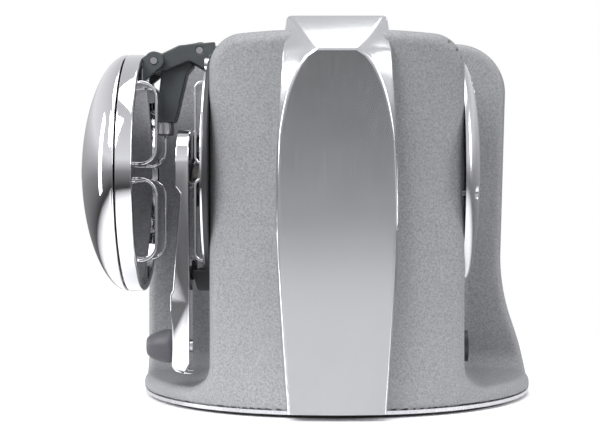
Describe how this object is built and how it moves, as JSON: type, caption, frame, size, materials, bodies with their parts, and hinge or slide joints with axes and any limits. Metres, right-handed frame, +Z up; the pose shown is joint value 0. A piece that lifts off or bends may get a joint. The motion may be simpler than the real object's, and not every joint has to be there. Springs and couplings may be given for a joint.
{
  "type": "electric can opener",
  "caption": "Countertop electric can opener with a textured casting, smooth centre band, flip-up chrome cover, cutter lever with knob, lid magnet arm and geared drive wheel.",
  "frame": {"origin": "on the underside of the non-slip pad, straight below the drive axis at mid width of the housing", "axes": "+Z up; -X towards the opening head and its cover; +Y towards the tall stand wall, so the free face with the band looks along -Y"},
  "size_m": [0.2702, 0.189, 0.219],
  "materials": {
    "textured_casting": "fine sand-textured silver paint on die-cast metal",
    "satin_silver": "smooth satin silver",
    "polished_chrome": "mirror-polished plating",
    "brushed_badge": "fine brushed plating",
    "black_plastic": "fine matt moulding",
    "arm_plastic": "satin charcoal moulding",
    "knob_plastic": "soft matt black",
    "pad_rubber": "matt rubber sheet",
    "zinc_steel": "zinc-plated",
    "hard_steel": "ground and hardened",
    "dark_steel": "blackened",
    "motor_steel": "laminated steel",
    "copper_wire": "enamelled wire",
    "bronze": "sintered bronze",
    "nylon": "natural nylon",
    "red_plastic": "moulded"
  },
  "bodies": {
    "body": {"stand_casting": "textured_casting", "housing_shell": "textured_casting", "centre_band": "satin_silver", "base_cover": "zinc_steel", "non_slip_pad": "pad_rubber", "base_screws": "zinc_steel", "front_shroud": "black_plastic", "front_bezel": "polished_chrome", "shaft_bushings": "bronze", "gear_plate": "zinc_steel", "tie_rods": "zinc_steel", "idler_axle": "hard_steel", "motor_stator": "motor_steel", "motor_coil": "copper_wire", "motor_front_bracket": "zinc_steel", "motor_rear_bracket": "zinc_steel", "cord_gland": "black_plastic", "terminal_block": "nylon", "switch_body": "black_plastic", "cover_bracket": "arm_plastic", "hinge_pins": "hard_steel", "lever_pivot_stud": "hard_steel", "rear_cap": "satin_silver", "rear_cap_screws": "dark_steel", "bracket_screws": "zinc_steel"},
    "drive": {"drive_shaft": "hard_steel", "drive_wheel": "hard_steel", "drive_gear": "nylon", "shaft_clip": "dark_steel"},
    "idler": {"idler_gear": "nylon"},
    "rotor": {"motor_rotor": "motor_steel", "cooling_fan": "black_plastic"},
    "lever": {"lever": "polished_chrome", "lever_knob": "knob_plastic", "knob_screw": "zinc_steel", "cutter_stud": "hard_steel"},
    "cutter": {"cutter_wheel": "hard_steel"},
    "magnet_arm": {"magnet_arm": "arm_plastic", "magnet_cup": "zinc_steel", "lid_magnet": "dark_steel"},
    "cover": {"cover_dome": "polished_chrome", "cover_ring": "polished_chrome", "cover_plate": "polished_chrome", "cover_badge": "brushed_badge", "cover_hinge": "arm_plastic"},
    "plunger": {"switch_plunger": "red_plastic"}
  },
  "joints": [
    {"name": "motor_spin", "type": "hinge", "parent": "body", "child": "rotor", "pos_m": [0, 0, 0.127], "axis": [1, 0, 0], "continuous": true},
    {"name": "idler_spin", "type": "hinge", "parent": "body", "child": "idler", "pos_m": [-0.05, 0, 0.08485], "axis": [1, 0, 0], "continuous": true},
    {"name": "drive_spin", "type": "hinge", "parent": "body", "child": "drive", "pos_m": [-0.08, 0, 0.127], "axis": [1, 0, 0], "continuous": true},
    {"name": "lever_swing", "type": "hinge", "parent": "body", "child": "lever", "pos_m": [-0.0825, 0.026, 0.1466], "axis": [1, 0, 0], "range_deg": [-30, 0]},
    {"name": "cutter_spin", "type": "hinge", "parent": "lever", "child": "cutter", "pos_m": [-0.0935, 0, 0.1436], "axis": [1, 0, 0], "continuous": true},
    {"name": "magnet_arm_lift", "type": "hinge", "parent": "body", "child": "magnet_arm", "pos_m": [-0.08, 0, 0.205], "axis": [0, 1, 0], "range_deg": [0, 8]},
    {"name": "cover_flip", "type": "hinge", "parent": "body", "child": "cover", "pos_m": [-0.1059, 0, 0.1983], "axis": [0, 1, 0], "range_deg": [0, 90]},
    {"name": "plunger_press", "type": "slide", "parent": "body", "child": "plunger", "axis": [0, 1, 0], "range_m": [0, 0.002], "stiffness_N_per_m": 200}
  ],
  "couplings": [
    {"joint": "idler_spin", "follows": "motor_spin", "ratio": -0.16667},
    {"joint": "drive_spin", "follows": "motor_spin", "ratio": 0.027778}
  ]
}
